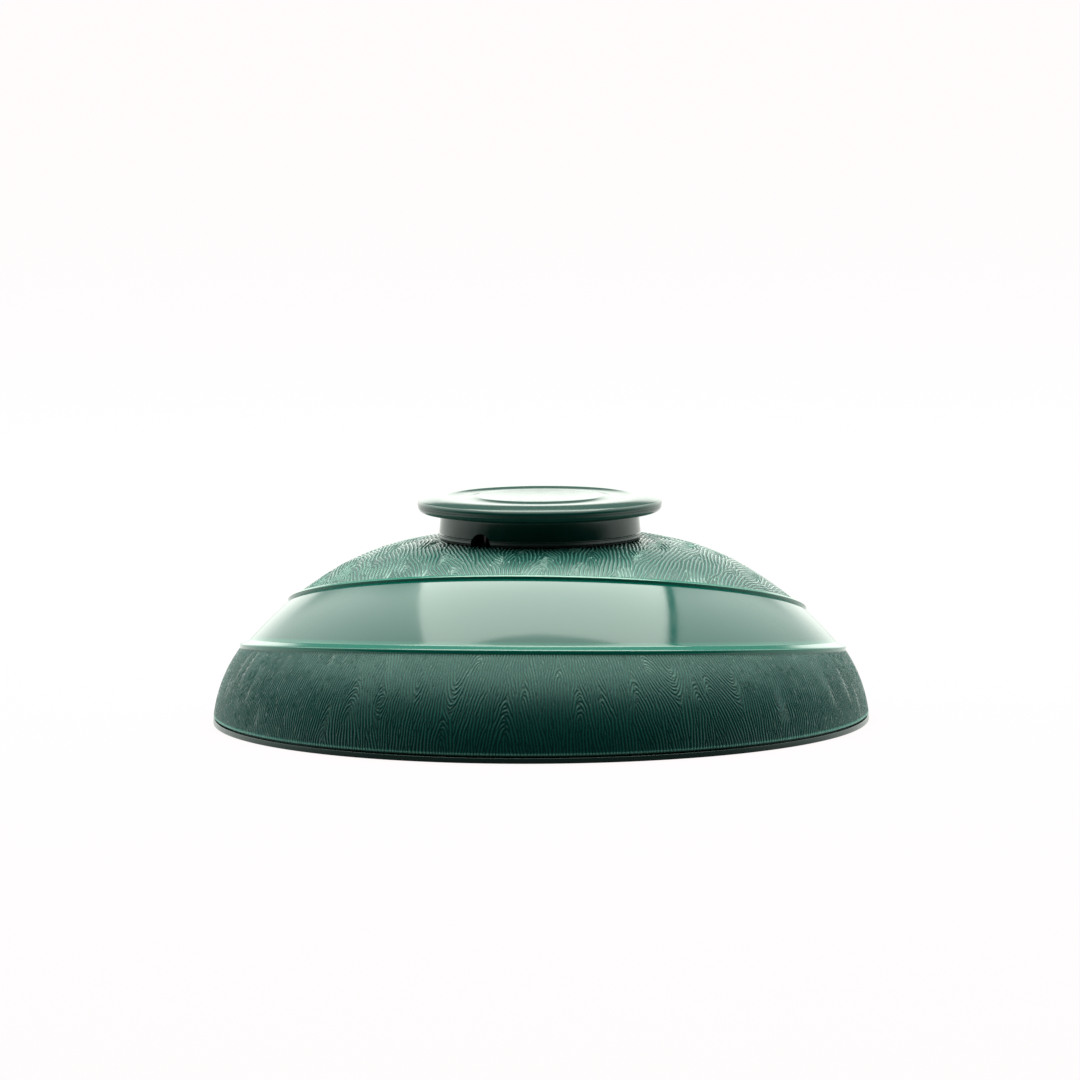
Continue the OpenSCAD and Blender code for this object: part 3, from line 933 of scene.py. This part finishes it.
def make_camera():
    """Long lens, just above level, a little to the right of the band's high side."""
    data = bpy.data.cameras.new("camera")
    data.sensor_width = 36
    data.lens = CAMERA_LENS
    camera = bpy.data.objects.new("camera", data)
    bpy.context.scene.collection.objects.link(camera)
    back = Vector((
        math.sin(CAMERA_AZIMUTH) * math.cos(CAMERA_ELEVATION),
        -math.cos(CAMERA_AZIMUTH) * math.cos(CAMERA_ELEVATION),
        math.sin(CAMERA_ELEVATION),
    ))
    camera.location = Vector((0, 0, AIM_HEIGHT)) + back * CAMERA_DISTANCE
    look = (-back).to_track_quat("-Z", "Y").to_matrix().to_4x4()
    camera.rotation_euler = (look @ Matrix.Rotation(CAMERA_ROLL, 4, "Z")).to_euler()
    data.clip_end = 100
    bpy.context.scene.camera = camera


def panel(name, corners, radiance):
    """Level panel that glows, with corners given in units of its height and squared up to the camera."""
    turn = Matrix.Rotation(CAMERA_AZIMUTH, 4, "Z")
    mesh = bpy.data.meshes.new(name)
    lift = Vector((0, 0, 0.05))
    places = [turn @ (Vector((x, y, 1)) * PANEL_HEIGHT) + lift for x, y in corners]
    mesh.from_pydata([tuple(p) for p in places], [], [range(len(corners))])
    made = new_object(name, mesh)
    mesh.materials.append(glowing(name + "_glow", LIGHT_FROM_PANELS, radiance, (0.01, 0.01, 0.01)))
    hide_from(made, "camera")
    return made


def make_lights():
    """Wide panel overhead with a dark strip at its right edge, and two dimmer panels in front of it."""
    near, far, front, front_end = -0.04, 0.85, -0.34, -0.69
    left, right, back_left, back_right, strip = -0.515, 0.575, -0.42, 0.43, 0.045
    key = [(left, near), (right, near), (back_right, far), (back_left, far)]
    flag = [(right, near), (right + strip, near), (back_right + strip, far), (back_right, far)]
    fill_middle = [(-0.6, front), (0.66, front), (0.62, near), (-0.56, near)]
    fill_front = [(-0.7, front_end), (0.7, front_end), (0.7, front), (-0.7, front)]
    panel("key", key, KEY_RADIANCE)
    panel("key_flag", flag, 0.0)
    panel("fill_middle", fill_middle, MIDDLE_RADIANCE)
    panel("fill_front", fill_front, FRONT_RADIANCE)


# ---- putting it together ----

make_camera()
make_stage()
make_world()
make_lights()
bpy.context.scene.view_settings.view_transform = "Standard"

pieces = {
    "shell_top": make_shell_top(),
    "shell_band": make_shell_band(),
    "shell_skirt": make_shell_skirt(),
    "shell_crown": make_shell_crown(),
    "liner": make_liner(),
    "grip_base": make_knob_base(),
    "grip_cap": make_knob_cap(),
}
top_paint = grain_plastic(
    "ridged_green", GREEN_DARK, GREEN_RIDGE_HIGHLIGHT, rough_top=0.16, rough_groove=0.36, fleck=0.05, shine=1.72
)
skirt_paint = grain_plastic(
    "grained_green", SKIRT_DARK, SKIRT_RIDGE_HIGHLIGHT, rough_top=0.13, rough_groove=0.28, fleck=0.08, shine=1.55
)
band_paint = smooth_plastic(
    "glossy_green", GREEN, GREEN_CLOUD, rough=0.09, lines=0.005, sag=0.1, edge=GREEN_EDGE_PAINTED_LIGHT
)
knob_paint = smooth_plastic("knob_green", KNOB_GREEN, KNOB_CLOUD, rough=0.14)
liner_paint = smooth_plastic("liner_green", LINER_GREEN, LINER_CLOUD, rough=0.22)
plug_paint = smooth_plastic("plug_green", PLUG_GREEN, PLUG_CLOUD, rough=0.3)
weld_paint = smooth_plastic("weld_green", GREEN_DARK, GREEN, rough=0.45)
black_rubber = rubber("seal_black")
finishes = {
    "shell_top": (top_paint, "shell"),
    "shell_band": (band_paint, "shell"),
    "shell_skirt": (skirt_paint, "shell"),
    "shell_crown": (band_paint, "shell"),
    "liner": (liner_paint, "liner"),
    "grip_base": (knob_paint, "knob"),
    "grip_cap": (knob_paint, "knob"),
}
for name, piece in pieces.items():
    paint, slot = finishes[name]
    piece.data.materials.clear()
    piece.data.materials.append(paint)
    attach(piece, "root")
for name in ("shell_top", "shell_band", "shell_skirt", "shell_crown"):
    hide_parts("outer_shell")
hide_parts("inner_liner")
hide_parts("knob_base")
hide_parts("knob_cap")

cad_paints = {
    "foam_core": foam("foam_cream"),
    "rim_weld": weld_paint,
    "knob_gasket": black_rubber,
    "knob_screws": steel("screw_steel"),
    "screw_seals": black_rubber,
    "fill_plug": plug_paint,
    "plug_seal": black_rubber,
    "vent_plugs": plug_paint,
}
for node, paint in cad_paints.items():
    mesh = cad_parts[node].data
    mesh.materials.clear()
    mesh.materials.append(paint)
